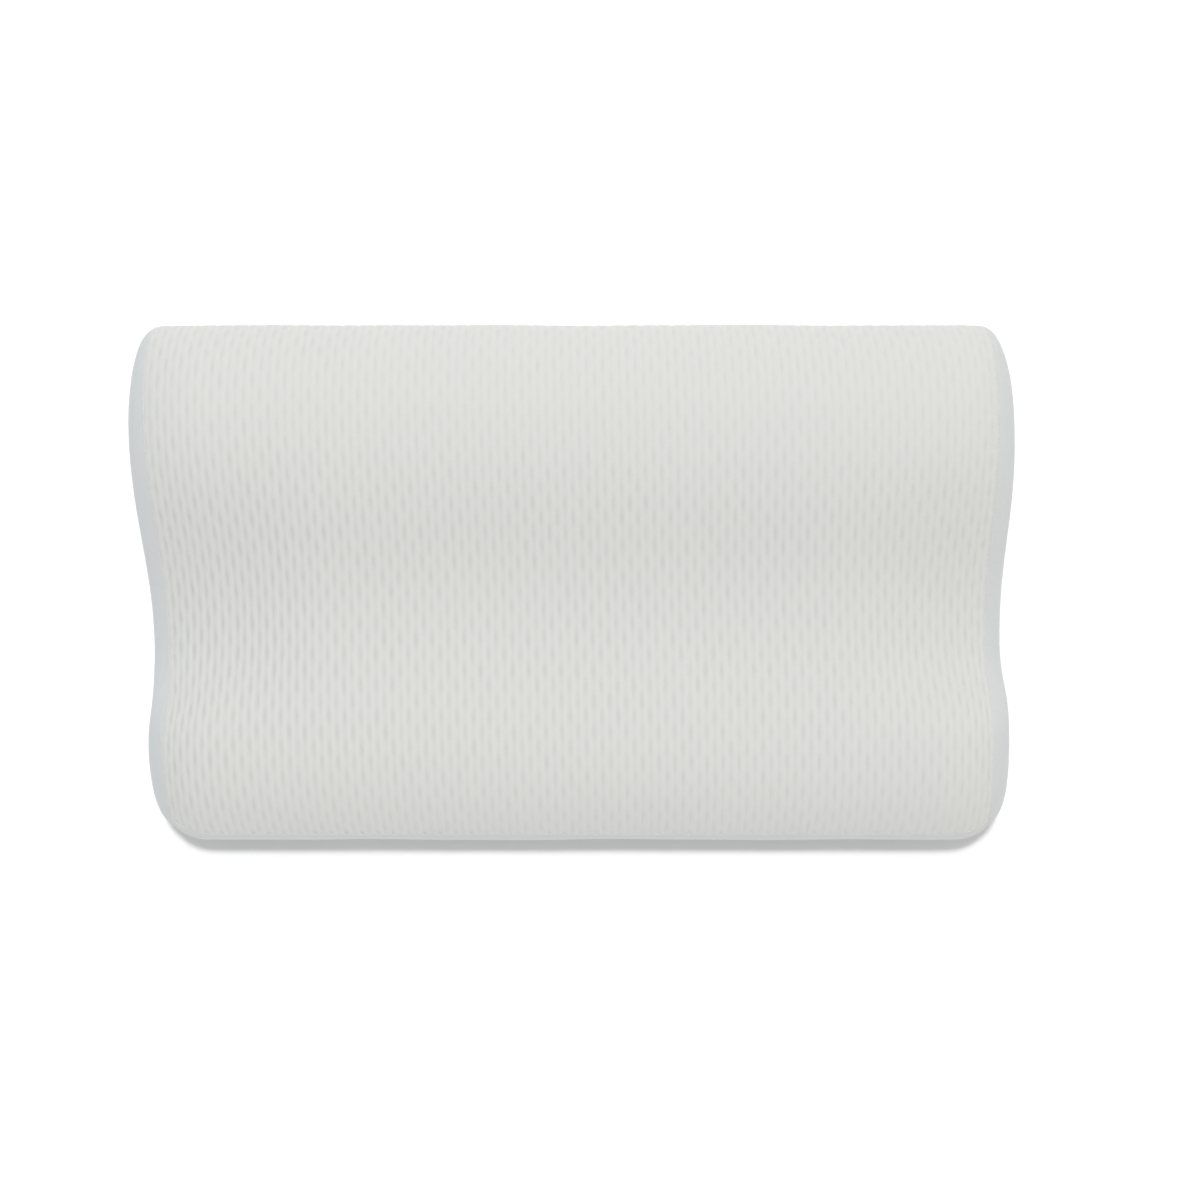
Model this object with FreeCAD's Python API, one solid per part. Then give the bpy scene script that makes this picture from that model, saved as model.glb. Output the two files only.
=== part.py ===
import FreeCAD, Part
import math
import os

# Contour bed pillow: a moulded foam core in a thin liner, inside a knitted cover that is closed by a zip.
# Millimetres. X runs along the pillow, +Y points to the high back lobe, +Z is up.
# The origin is the middle of the face that the pillow rests on.

# Overall size
HALF_LENGTH = 250.0
HALF_DEPTH = 150.0
BACK_CREST_Z = 102.0
FRONT_CREST_Z = 73.0
DIP_MIDDLE_Z = 69.0
DIP_END_Z = 52.0

# Where the wave of the upper face has its level points
BACK_CREST_Y = 96.0
DIP_Y = -34.0
FRONT_CREST_Y = -90.0
DIP_SHALLOW_HALF = 140.0
DIP_DEEP_HALF = 236.0

# How each side rolls in towards an end of the pillow: length along X, depth of the roll
TOP_ROLL = (46.0, 24.0)
BASE_ROLL = (14.0, 9.0)
FRONT_ROLL = (30.0, 27.0)
BACK_ROLL = (14.0, 26.0)
CREST_FOLLOWS_ROLL = 0.45

# The middle is straight. The base and the back wall stay flat up to FLAT_TO from each tip.
STRAIGHT_HALF = 110.0
FLAT_TO = 14.0
SHOULDER_SECTIONS = (125.0, 110.0, 95.0, 80.0, 64.0, 54.0, 46.0, 38.0, 30.0, 22.0)
TIP_STEPS = 7

# Edges of the cross-section
BACK_WALL_FROM = 0.22
BACK_WALL_TO = 0.56
FRONT_NOSE_AT = 0.38
BACK_EDGE_RADIUS = 22.0
FRONT_EDGE_RADIUS = 32.0
ROUND_HANDLE = 0.5523
WAVE_HANDLE = 0.42

# Layers, counted inwards from the outer face of the cover
COVER_THICK = 2.0
SEAM_LAYER = (0.25, 1.75)
LINER_LAYER = (2.3, 2.9)
FOAM_INSET = 3.0
ZIP_ROOM = 2.2

# Seams of the cover
SEAM_X = 238.5
SEAM_HALF = 0.95
SEAM_GAP = 0.05
FRONT_SEAM_Z = 45.0
MARGIN = 10.0

# Zip in the upright back wall
ZIP_Z = 32.0
ZIP_HALF = 204.0
WINDOW_OVER = 4.0
WINDOW_HALF = 4.8
WINDOW_DEEP = 8.0
TAPE_THICK = 0.5
TAPE_FROM = 0.5
TAPE_TO = 8.0
TAPE_OVER = 8.0
TAPE_Y = HALF_DEPTH - COVER_THICK - 0.05
COIL_TO = 2.1
COIL_HIGH = 1.35
COIL_EDGE = 0.4
STOP_LONG = 2.0
STOP_TO = 2.6
STOP_EDGE = 0.25
STITCH_OUT = 6.4
THREAD = 0.3
ON_CLOTH = 0.12
TACK_LONG = 1.4
TACK_THICK = 0.4
TACK_HALF = 5.6
TACK_AWAY = 0.6

# Slider and pull tab
SLIDER_HALF = 5.5
PLATE_THICK = 0.9
PLATE_SHOULDER = 4.1
PLATE_TAIL = 2.9
PLATE_HEAD = 3.3
PLATE_BROAD = (2.0, 6.5)
PLATE_CORNER = 0.7
WELD = 0.1
OUTER_PLATE_Y = 149.85
INNER_PLATE_Y = 146.1
NECK_AT = 0.4
NECK_LONG = 1.6
NECK_HALF = 0.2
FLANGE_WIDE = 0.8
FLANGE_Y = 148.5
BRIDGE_HALF = 3.4
BRIDGE_WIDE = 1.0
BRIDGE_THICK = 0.8
BRIDGE_HIGH = 2.65
BRIDGE_CORNER = 1.2
BRIDGE_LEG = 0.9
PIVOT_UP = 1.0
PIN_RADIUS = 0.45
TAB_THICK = 0.9
TAB_BACK = 0.6
TAB_SLOT = (-2.0, 4.1)
TAB_SLOT_HALF = 1.35
TAB_WAIST_AT = 8.0
TAB_WAIST_HALF = 2.1
TAB_BARREL_RADIUS = 0.55
TAB_LONG = 25.0
TAB_ARM_HALF = 2.6
TAB_END_HALF = 3.0
TAB_HOLE = (16.0, 22.0, 1.1)
STOP_GAP = 0.4

# Care label below the zip
LABEL_X = 118.0
LABEL_WIDE = 36.0
LABEL_TOP = 24.2
LABEL_LONG = 18.5
LABEL_PLY = 0.22
LABEL_SLACK = 0.16
LABEL_Y = 150.45

# Closing seam of the liner, on its upright back wall
LINER_SEAM_Z = 52.0
LINER_SEAM_HIGH = 1.2
LINER_SEAM_HALF = 205.0
LINER_SEAM_OUT = (0.02, 1.2)


def vector(x, y, z):
    return FreeCAD.Vector(x, y, z)


def box(low, high):
    size = [b - a for a, b in zip(low, high)]
    return Part.makeBox(size[0], size[1], size[2], vector(*low))


def bezier(x, points):
    curve = Part.BezierCurve()
    curve.setPoles([vector(x, y, z) for y, z in points])
    return curve.toShape()


def line(x, start, end):
    return Part.makeLine(vector(x, *start), vector(x, *end))


def quarter(x, start, end, upright_first):
    """A quarter of an ellipse from start to end, in the plane at x."""
    dy = end[0] - start[0]
    dz = end[1] - start[1]
    if upright_first:
        first = (start[0], start[1] + ROUND_HANDLE * dz)
        second = (end[0] - ROUND_HANDLE * dy, end[1])
    else:
        first = (start[0] + ROUND_HANDLE * dy, start[1])
        second = (end[0], end[1] - ROUND_HANDLE * dz)
    return bezier(x, [start, first, second, end])


def wave(x, start, end):
    """A smooth fall or rise between two level points."""
    reach = WAVE_HANDLE * (end[0] - start[0])
    return bezier(x, [start, (start[0] + reach, start[1]), (end[0] - reach, end[1]), end])


def roll(distance, side):
    """How far a side has rolled in, at a distance from the end of the pillow."""
    length, depth = side
    if distance >= length:
        return 0.0
    along = 1.0 - max(distance, 0.0) / length
    return depth * (1.0 - math.sqrt(1.0 - along * along))


def dip_height(x):
    """Height of the dip's floor: deepest where the end panels hold the cloth down."""
    share = (abs(x) - DIP_SHALLOW_HALF) / (DIP_DEEP_HALF - DIP_SHALLOW_HALF)
    share = min(max(share, 0.0), 1.0)
    smooth = share * share * (3.0 - 2.0 * share)
    return DIP_MIDDLE_Z + (DIP_END_Z - DIP_MIDDLE_Z) * smooth


def section(x, inset, back_room):
    """The pillow's cross-section at x, as a closed wire, for a layer at an inset."""
    distance = HALF_LENGTH - inset - abs(x)
    drop = roll(distance, TOP_ROLL) + inset
    front_in = roll(distance, FRONT_ROLL)
    back_in = roll(distance, BACK_ROLL)
    base = inset + roll(distance, BASE_ROLL)
    front = -HALF_DEPTH + inset + front_in
    back = HALF_DEPTH - inset - back_in - back_room
    back_crest = (BACK_CREST_Y - CREST_FOLLOWS_ROLL * back_in, BACK_CREST_Z - drop)
    dip = (DIP_Y, dip_height(x) - drop)
    front_crest = (FRONT_CREST_Y + CREST_FOLLOWS_ROLL * front_in, FRONT_CREST_Z - drop)
    back_tall = back_crest[1] - base
    wall_low = (back, base + BACK_WALL_FROM * back_tall)
    wall_high = (back, base + BACK_WALL_TO * back_tall)
    nose = (front, base + FRONT_NOSE_AT * (front_crest[1] - base))
    base_back = (back - BACK_EDGE_RADIUS, base)
    base_front = (front + FRONT_EDGE_RADIUS, base)
    return Part.Wire(
        [
            line(x, base_front, base_back),
            quarter(x, base_back, wall_low, False),
            line(x, wall_low, wall_high),
            quarter(x, wall_high, back_crest, True),
            wave(x, back_crest, dip),
            wave(x, dip, front_crest),
            quarter(x, front_crest, nose, False),
            quarter(x, nose, base_front, True),
        ]
    )


def loft(distances, inset, back_room):
    """The right end of a layer, between sections at distances from the pillow's tip."""
    end = HALF_LENGTH - inset
    wires = [section(end - distance, inset, back_room) for distance in distances]
    return Part.makeLoft(wires, True, False)


def layer(inset, back_room=0.0):
    """The whole pillow as one solid, at an inset from the cover's outer face."""
    plain = HALF_LENGTH - inset - STRAIGHT_HALF
    shoulder = [plain, *SHOULDER_SECTIONS, FLAT_TO]
    steps = [(TIP_STEPS - k) / TIP_STEPS for k in range(TIP_STEPS + 1)]
    tip = [FLAT_TO * step * step for step in steps]
    right = loft(shoulder, inset, back_room).fuse(loft(tip, inset, back_room))
    left = right.mirror(vector(0, 0, 0), vector(1, 0, 0))
    start = Part.Face(section(-STRAIGHT_HALF, inset, back_room))
    middle = start.extrude(vector(2.0 * STRAIGHT_HALF, 0, 0))
    return middle.fuse([left, right])


def both_sides(x_from, x_to, y_from, y_to, z_from, z_to):
    """The same box at both ends of the pillow."""
    return Part.Compound(
        [
            box((x_from, y_from, z_from), (x_to, y_to, z_to)),
            box((-x_to, y_from, z_from), (-x_from, y_to, z_to)),
        ]
    )


def one_solid(shape):
    """The largest solid of a result, without slivers."""
    return max(shape.Solids, key=lambda solid: solid.Volume)


def zip_window():
    """The opening that the zip closes, in the back wall of the cover."""
    half = ZIP_HALF + WINDOW_OVER
    return box(
        (-half, HALF_DEPTH - WINDOW_DEEP, ZIP_Z - WINDOW_HALF),
        (half, HALF_DEPTH + WINDOW_DEEP, ZIP_Z + WINDOW_HALF),
    )


def cover_top_panel(shell):
    """The patterned piece: from above the nose of the front, over the upper face, down to the zip."""
    end = SEAM_X - SEAM_HALF - SEAM_GAP
    far = HALF_DEPTH + MARGIN
    high = BACK_CREST_Z + MARGIN
    gap = SEAM_HALF + SEAM_GAP
    front = box((-end, -far, FRONT_SEAM_Z + gap), (end, 0.0, high))
    back = box((-end, 0.0, ZIP_Z + gap), (end, far, high))
    return one_solid(shell.common(front.fuse(back)).cut(zip_window()))


def cover_base_panel(shell):
    """The plain piece that the pillow rests on, which rises over the nose of the front, and to the zip."""
    end = SEAM_X - SEAM_HALF - SEAM_GAP
    far = HALF_DEPTH + MARGIN
    low = -MARGIN
    gap = SEAM_HALF + SEAM_GAP
    front = box((-end, -far, low), (end, 0.0, FRONT_SEAM_Z - gap))
    back = box((-end, 0.0, low), (end, far, ZIP_Z - gap))
    return one_solid(shell.common(front.fuse(back)).cut(zip_window()))


def slab(x_from, x_to):
    """A box round the whole cross-section between two places along the pillow."""
    return box(
        (x_from, -HALF_DEPTH - MARGIN, -MARGIN),
        (x_to, HALF_DEPTH + MARGIN, BACK_CREST_Z + MARGIN),
    )


def end_panel(shell, side):
    """The bulging wave-shaped panel that closes one end; side is -1 or 1."""
    inner = SEAM_X + SEAM_HALF + SEAM_GAP
    outer = HALF_LENGTH + MARGIN
    low, high = sorted((side * inner, side * outer))
    return one_solid(shell.common(slab(low, high)))


def end_seam(shell, side):
    """The overlocked seam between an end panel and the two long panels."""
    low = side * SEAM_X - SEAM_HALF
    high = side * SEAM_X + SEAM_HALF
    return one_solid(shell.common(slab(low, high)))


def front_seam(shell):
    """The seam just above the nose of the front, between the top panel and the base panel."""
    end = SEAM_X - SEAM_HALF - SEAM_GAP
    strip = box(
        (-end, -HALF_DEPTH - MARGIN, FRONT_SEAM_Z - SEAM_HALF),
        (end, 0.0, FRONT_SEAM_Z + SEAM_HALF),
    )
    return one_solid(shell.common(strip))


def zip_end_seams(shell):
    """The short closed seams between the zip's ends and the end seams."""
    strips = both_sides(
        ZIP_HALF + WINDOW_OVER,
        SEAM_X - SEAM_HALF - SEAM_GAP,
        0.0,
        HALF_DEPTH + MARGIN,
        ZIP_Z - SEAM_HALF,
        ZIP_Z + SEAM_HALF,
    )
    return shell.common(strips)


def across(up, near, far):
    """Heights of a strip beside the zip's centre line, above it or below it."""
    return sorted((ZIP_Z + up * near, ZIP_Z + up * far))


def zip_tape(up):
    """The woven tape that is sewn behind one edge of the opening."""
    half = ZIP_HALF + TAPE_OVER
    low, high = across(up, TAPE_FROM, TAPE_TO)
    return box((-half, TAPE_Y - TAPE_THICK, low), (half, TAPE_Y, high))


def zip_coil(up):
    """One row of the nylon coil, as a bar on its tape."""
    low, high = across(up, TAPE_FROM, COIL_TO)
    bar = box((-ZIP_HALF, TAPE_Y, low), (ZIP_HALF, TAPE_Y + COIL_HIGH, high))
    long_outer_edges = [
        edge
        for edge in bar.Edges
        if edge.Length > ZIP_HALF and edge.BoundBox.YMin > TAPE_Y + COIL_HIGH / 2.0
    ]
    return bar.makeFillet(COIL_EDGE, long_outer_edges)


def zip_stop(side, up_from, up_to):
    """A stop across the coil at one end of the zip."""
    low, high = sorted((side * ZIP_HALF, side * (ZIP_HALF + STOP_LONG)))
    block = box(
        (low, TAPE_Y, ZIP_Z + up_from),
        (high, TAPE_Y + COIL_HIGH, ZIP_Z + up_to),
    )
    outer_edges = [e for e in block.Edges if e.BoundBox.YMin > TAPE_Y + COIL_HIGH / 2.0]
    return block.makeFillet(STOP_EDGE, outer_edges)


def zip_top_stops():
    """A clip on the end of each coil row, where the closed slider comes to rest."""
    return Part.Compound([zip_stop(-1, -STOP_TO, -TAPE_FROM), zip_stop(-1, TAPE_FROM, STOP_TO)])


def zip_bottom_stop():
    """The stop that holds both coil rows together at the other end."""
    return zip_stop(1, -STOP_TO, STOP_TO)


def stitch_row(up):
    """The sewing thread that holds one tape to the cover, as a bar on the cloth."""
    half = ZIP_HALF + WINDOW_OVER
    middle = ZIP_Z + up * STITCH_OUT
    return box(
        (-half, HALF_DEPTH + ON_CLOTH, middle - THREAD / 2.0),
        (half, HALF_DEPTH + ON_CLOTH + THREAD, middle + THREAD / 2.0),
    )


def zip_bar_tacks():
    """The dense stitches across each end of the opening."""
    start = ZIP_HALF + WINDOW_OVER + TACK_AWAY
    return both_sides(
        start,
        start + TACK_LONG,
        HALF_DEPTH + ON_CLOTH,
        HALF_DEPTH + ON_CLOTH + TACK_THICK,
        ZIP_Z - TACK_HALF,
        ZIP_Z + TACK_HALF,
    )


def slider_centre():
    """Place of the closed slider along X, just clear of the top stops."""
    return -ZIP_HALF + SLIDER_HALF + STOP_GAP


def slider_plate(y_from, thick):
    """One plate of the slider: a shield, broad at the head that faces -X."""
    head = slider_centre() - SLIDER_HALF
    tail = slider_centre() + SLIDER_HALF
    broad_from, broad_to = (head + place for place in PLATE_BROAD)
    outline = [
        (head, -PLATE_HEAD),
        (broad_from, -PLATE_SHOULDER),
        (broad_to, -PLATE_SHOULDER),
        (tail, -PLATE_TAIL),
        (tail, PLATE_TAIL),
        (broad_to, PLATE_SHOULDER),
        (broad_from, PLATE_SHOULDER),
        (head, PLATE_HEAD),
    ]
    corners = [vector(a, y_from, ZIP_Z + b) for a, b in outline]
    face = Part.Face(Part.makePolygon(corners + corners[:1]))
    plate = face.extrude(vector(0.0, thick, 0.0))
    upright = [e for e in plate.Edges if abs(e.BoundBox.YLength - thick) < thick / 100.0]
    return plate.makeFillet(PLATE_CORNER, upright)


def slider_bridge():
    """The arch on the outer plate that holds the pull tab."""
    x = slider_centre()
    top = OUTER_PLATE_Y + PLATE_THICK
    arch = box(
        (x - BRIDGE_HALF, top - WELD, ZIP_Z - BRIDGE_WIDE),
        (x + BRIDGE_HALF, top + BRIDGE_HIGH, ZIP_Z + BRIDGE_WIDE),
    )
    shoulders = [
        e
        for e in arch.Edges
        if e.BoundBox.ZLength > BRIDGE_WIDE and e.BoundBox.YMin > top + BRIDGE_HIGH - WELD
    ]
    arch = arch.makeFillet(BRIDGE_CORNER, shoulders)
    window = box(
        (x - BRIDGE_HALF + BRIDGE_LEG, top, ZIP_Z - 2.0 * BRIDGE_WIDE),
        (x + BRIDGE_HALF - BRIDGE_LEG, top + BRIDGE_HIGH - BRIDGE_THICK, ZIP_Z + 2.0 * BRIDGE_WIDE),
    )
    return arch.cut(window)


def zip_slider_body():
    """Two plates round the coil, joined by a neck at the head, with side flanges and the bridge."""
    head = slider_centre() - SLIDER_HALF
    outer = slider_plate(OUTER_PLATE_Y, PLATE_THICK)
    inner = slider_plate(INNER_PLATE_Y, PLATE_THICK)
    neck = box(
        (head + NECK_AT, INNER_PLATE_Y + WELD, ZIP_Z - NECK_HALF),
        (head + NECK_AT + NECK_LONG, OUTER_PLATE_Y + WELD, ZIP_Z + NECK_HALF),
    )
    body = outer.fuse([inner, neck, slider_bridge()])
    for up in (-1, 1):
        low, high = across(up, PLATE_SHOULDER - FLANGE_WIDE, PLATE_SHOULDER)
        flange = box(
            (head + PLATE_BROAD[0], FLANGE_Y, low),
            (head + PLATE_BROAD[1], OUTER_PLATE_Y + WELD, high),
        )
        body = body.fuse(flange)
    return one_solid(body.removeSplitter())


def tab_outline(x, y):
    """The tab's outline round its pivot: straight arms, a narrower waist and a round end."""
    round_x = x + TAB_LONG - TAB_END_HALF
    waist_x = x + TAB_WAIST_AT
    back_x = x - TAB_BACK
    path = [
        vector(round_x, y, TAB_END_HALF),
        vector(waist_x, y, TAB_WAIST_HALF),
        vector(back_x, y, TAB_ARM_HALF),
        vector(back_x, y, -TAB_ARM_HALF),
        vector(waist_x, y, -TAB_WAIST_HALF),
        vector(round_x, y, -TAB_END_HALF),
    ]
    sides = [Part.makeLine(a, b) for a, b in zip(path, path[1:])]
    end = Part.Arc(path[-1], vector(x + TAB_LONG, y, 0.0), path[0]).toShape()
    return Part.Wire(sides + [end])


def tab_hole(x, y):
    """The long grip hole through the tab."""
    start, stop, radius = TAB_HOLE
    deep = TAB_THICK + 2.0 * MARGIN
    hole = box((x + start, y - MARGIN, -radius), (x + stop, y - MARGIN + deep, radius))
    ends = [
        Part.makeCylinder(radius, deep, vector(x + place, y - MARGIN, 0.0), vector(0, 1, 0))
        for place in (start, stop)
    ]
    return hole.fuse(ends)


def cross_pin(x, y, radius):
    """A round bar across both arms of the tab, on its pivot."""
    return Part.makeCylinder(
        radius, 2.0 * TAB_ARM_HALF, vector(x, y, -TAB_ARM_HALF), vector(0, 0, 1)
    )


def zip_pull_tab():
    """The flat tab: two arms on a cross pin under the bridge, and a rounded end with a grip hole."""
    x = slider_centre()
    pivot_y = OUTER_PLATE_Y + PLATE_THICK + PIVOT_UP
    low_y = pivot_y - TAB_THICK / 2.0
    plate = Part.Face(tab_outline(x, low_y)).extrude(vector(0.0, TAB_THICK, 0.0))
    plate = plate.fuse(cross_pin(x, pivot_y, TAB_BARREL_RADIUS))
    slot = box(
        (x + TAB_SLOT[0], low_y - MARGIN, -TAB_SLOT_HALF),
        (x + TAB_SLOT[1], low_y + MARGIN, TAB_SLOT_HALF),
    )
    tab = plate.cut(slot).cut(tab_hole(x, low_y)).fuse(cross_pin(x, pivot_y, PIN_RADIUS))
    tab.translate(vector(0.0, 0.0, ZIP_Z))
    return one_solid(tab.removeSplitter())


def care_label():
    """A blank woven label, folded once at its lower edge and sewn on along its top."""
    outer_radius = LABEL_PLY + LABEL_SLACK / 2.0
    inner_radius = LABEL_SLACK / 2.0
    middle_y = LABEL_Y + outer_radius
    fold_z = LABEL_TOP - LABEL_LONG + outer_radius
    x = LABEL_X

    def arc(radius):
        return Part.Arc(
            vector(x, middle_y - radius, fold_z),
            vector(x, middle_y, fold_z - radius),
            vector(x, middle_y + radius, fold_z),
        ).toShape()

    def upright(y, z_from, z_to):
        return Part.makeLine(vector(x, y, z_from), vector(x, y, z_to))

    def level(y_from, y_to):
        return Part.makeLine(vector(x, y_from, LABEL_TOP), vector(x, y_to, LABEL_TOP))

    edges = [
        arc(outer_radius),
        upright(middle_y + outer_radius, fold_z, LABEL_TOP),
        level(middle_y + outer_radius, middle_y + inner_radius),
        upright(middle_y + inner_radius, LABEL_TOP, fold_z),
        arc(inner_radius),
        upright(middle_y - inner_radius, fold_z, LABEL_TOP),
        level(middle_y - inner_radius, middle_y - outer_radius),
        upright(middle_y - outer_radius, LABEL_TOP, fold_z),
    ]
    wire = Part.Wire(Part.__sortEdges__(edges))
    return Part.Face(wire).extrude(vector(LABEL_WIDE, 0.0, 0.0))


def liner_closing_seam():
    """The overlocked ridge that closes the liner along its back wall."""
    wall = HALF_DEPTH - LINER_LAYER[0] - ZIP_ROOM
    inner, outer = (wall + out for out in LINER_SEAM_OUT)
    return box(
        (-LINER_SEAM_HALF, inner, LINER_SEAM_Z - LINER_SEAM_HIGH / 2.0),
        (LINER_SEAM_HALF, outer, LINER_SEAM_Z + LINER_SEAM_HIGH / 2.0),
    )


def make_parts():
    cover = layer(0.0).cut(layer(COVER_THICK))
    seam = layer(SEAM_LAYER[0]).cut(layer(SEAM_LAYER[1]))
    liner = layer(LINER_LAYER[0], ZIP_ROOM).cut(layer(LINER_LAYER[1], ZIP_ROOM))
    return {
        "foam_core": layer(FOAM_INSET, ZIP_ROOM),
        "inner_liner": one_solid(liner),
        "liner_closing_seam": liner_closing_seam(),
        "cover_top_panel": cover_top_panel(cover),
        "cover_base_panel": cover_base_panel(cover),
        "end_panel_left": end_panel(cover, -1),
        "end_panel_right": end_panel(cover, 1),
        "end_seam_left": end_seam(seam, -1),
        "end_seam_right": end_seam(seam, 1),
        "front_seam": front_seam(seam),
        "zip_end_seams": zip_end_seams(seam),
        "zip_tape_upper": zip_tape(1),
        "zip_tape_lower": zip_tape(-1),
        "zip_coil_upper": zip_coil(1),
        "zip_coil_lower": zip_coil(-1),
        "zip_top_stops": zip_top_stops(),
        "zip_bottom_stop": zip_bottom_stop(),
        "zip_stitching_upper": stitch_row(1),
        "zip_stitching_lower": stitch_row(-1),
        "zip_bar_tacks": zip_bar_tacks(),
        "zip_slider_body": zip_slider_body(),
        "zip_pull_tab": zip_pull_tab(),
        "care_label": care_label(),
    }


os.makedirs("parts", exist_ok=True)
for name, shape in make_parts().items():
    extent = shape.BoundBox
    print(
        f"{name:22s} valid {shape.isValid()} solids {len(shape.Solids)} volume {shape.Volume:12.1f}"
        f"  x {extent.XMin:8.2f} {extent.XMax:8.2f}"
        f"  y {extent.YMin:8.2f} {extent.YMax:8.2f}"
        f"  z {extent.ZMin:7.2f} {extent.ZMax:7.2f}"
    )
    shape.exportStep(f"parts/{name}.step")
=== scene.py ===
import math

import bpy
import numpy as np
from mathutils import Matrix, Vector


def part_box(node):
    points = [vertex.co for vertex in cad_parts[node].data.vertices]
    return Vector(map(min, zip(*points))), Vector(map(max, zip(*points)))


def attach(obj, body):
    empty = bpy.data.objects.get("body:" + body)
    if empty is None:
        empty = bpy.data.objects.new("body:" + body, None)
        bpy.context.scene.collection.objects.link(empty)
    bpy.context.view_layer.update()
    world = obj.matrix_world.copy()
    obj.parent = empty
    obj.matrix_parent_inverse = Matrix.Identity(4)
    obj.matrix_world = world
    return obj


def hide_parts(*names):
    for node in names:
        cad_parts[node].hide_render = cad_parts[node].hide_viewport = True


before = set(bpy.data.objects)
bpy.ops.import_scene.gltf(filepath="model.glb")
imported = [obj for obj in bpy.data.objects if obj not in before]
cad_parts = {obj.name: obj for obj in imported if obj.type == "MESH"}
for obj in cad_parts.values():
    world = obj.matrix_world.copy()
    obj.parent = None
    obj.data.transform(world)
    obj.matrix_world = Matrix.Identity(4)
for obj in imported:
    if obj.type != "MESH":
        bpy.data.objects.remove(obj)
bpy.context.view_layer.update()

MM = 0.001
UPRIGHT = (0.0, 0.0, 1.0)

# ---- Sizes, in metres: the overall ones come from the frame, the others repeat the design's ----
HALF_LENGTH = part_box("end_panel_right")[1].x
HALF_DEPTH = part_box("cover_base_panel")[1].y
BACK_CREST_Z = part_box("cover_top_panel")[1].z
FRONT_CREST_Z = 73 * MM
DIP_MIDDLE_Z = 69 * MM
DIP_END_Z = 52 * MM
BACK_CREST_Y = 96 * MM
DIP_Y = -34 * MM
FRONT_CREST_Y = -90 * MM
DIP_SHALLOW_HALF = 140 * MM
DIP_DEEP_HALF = 236 * MM
TOP_ROLL = (46 * MM, 24 * MM)
BASE_ROLL = (14 * MM, 9 * MM)
FRONT_ROLL = (30 * MM, 27 * MM)
BACK_ROLL = (14 * MM, 26 * MM)
CREST_FOLLOWS_ROLL = 0.45
BACK_WALL_FROM = 0.22
BACK_WALL_TO = 0.56
FRONT_NOSE_AT = 0.38
BACK_EDGE_RADIUS = 22 * MM
FRONT_EDGE_RADIUS = 32 * MM
ROUND_HANDLE = 0.5523
WAVE_HANDLE = 0.42
RUN_POINTS = 48
FRONT_RUN, WALL_RUN = 1, 5  # the runs of the section that the seams and the zip lie on
CLOTH_THICK = 1.9 * MM
FOAM_INSET = 3 * MM
ZIP_ROOM = 2.2 * MM

# A seam lies this far inside its box
SEAM_IN_BOX = 0.95 * MM
SEAM_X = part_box("end_seam_right")[0].x + SEAM_IN_BOX
FRONT_SEAM_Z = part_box("front_seam")[0].z + SEAM_IN_BOX
WINDOW_LOW, WINDOW_HIGH = 27.2 * MM, 36.8 * MM
ZIP_Z = (WINDOW_LOW + WINDOW_HIGH) / 2
WINDOW_HALF_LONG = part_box("zip_stitching_upper")[1].x
WINDOW_CLOSES_BEFORE, WINDOW_CLOSES_OVER = 0.2 * MM, 2.4 * MM

# The knit: spindle-shaped pits in columns, each column half a repeat from the next
COLUMN = 4.6 * MM
REPEAT = 17.8 * MM
PIT_DEEP = 0.90 * MM
PIT_EDGE, PIT_SHADE_EDGE = 1.6, 2.2
PIT_FADE = 4 * MM
COLUMN_SHARE = 0.30
STAGGER_SHARE = 0.19

# The cloth beside a seam: it stops short of it, is drawn in, gathers, and folds in at the zip
SEAM_EDGE_GAP = 0.15 * MM
SEAM_PULL, SEAM_PULL_REACH = 0.32 * MM, 3.2 * MM
FOLD_IN, FOLD_REACH = 0.7 * MM, 0.8 * MM
PUCKER, PUCKER_FROM, PUCKER_REACH = 0.3 * MM, 2 * MM, 9 * MM
SWELL, SWELL_FADE = 0.35 * MM, 14 * MM
FLAT_BELOW = 12 * MM  # the cloth under the base lies flat

# The soft cover leans along the pillow, and is pressed in a little at its left front
LEAN = 0.02
WALL_FROM_Y, WALL_EASE_Y = 118 * MM, 24 * MM
WALL_UP_TO_Z, WALL_EASE_Z = 42 * MM, 26 * MM
HOLLOW = 2.6 * MM
HOLLOW_Y, HOLLOW_WIDE = -66 * MM, 17 * MM
HOLLOW_FROM_X, HOLLOW_EASE_X = 190 * MM, 50 * MM


# ---- The pillow's surface: cross-sections along X, the same curves as the design ----
def roll(distance, side):
    length, depth = side
    along = np.clip(1.0 - distance / length, 0.0, 1.0)
    return depth * (1.0 - np.sqrt(1.0 - along * along))


def smooth(value):
    share = np.clip(value, 0.0, 1.0)
    return share * share * (3.0 - 2.0 * share)


def bezier(a, b, c, d):
    t = np.linspace(0.0, 1.0, RUN_POINTS)[:, None]
    return (1 - t) ** 3 * a + 3 * (1 - t) ** 2 * t * b + 3 * (1 - t) * t * t * c + t**3 * d


def quarter(start, end, upright_first):
    """A quarter of an ellipse between two points of a section."""
    step = end - start
    if upright_first:
        first = start + np.array([0.0, ROUND_HANDLE * step[1]])
        second = end - np.array([ROUND_HANDLE * step[0], 0.0])
    else:
        first = start + np.array([ROUND_HANDLE * step[0], 0.0])
        second = end - np.array([0.0, ROUND_HANDLE * step[1]])
    return bezier(start, first, second, end)


def wave(start, end):
    reach = np.array([WAVE_HANDLE * (end[0] - start[0]), 0.0])
    return bezier(start, start + reach, end - reach, end)


def dip_height(x):
    share = (abs(x) - DIP_SHALLOW_HALF) / (DIP_DEEP_HALF - DIP_SHALLOW_HALF)
    return DIP_MIDDLE_Z + (DIP_END_Z - DIP_MIDDLE_Z) * smooth(share)


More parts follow.
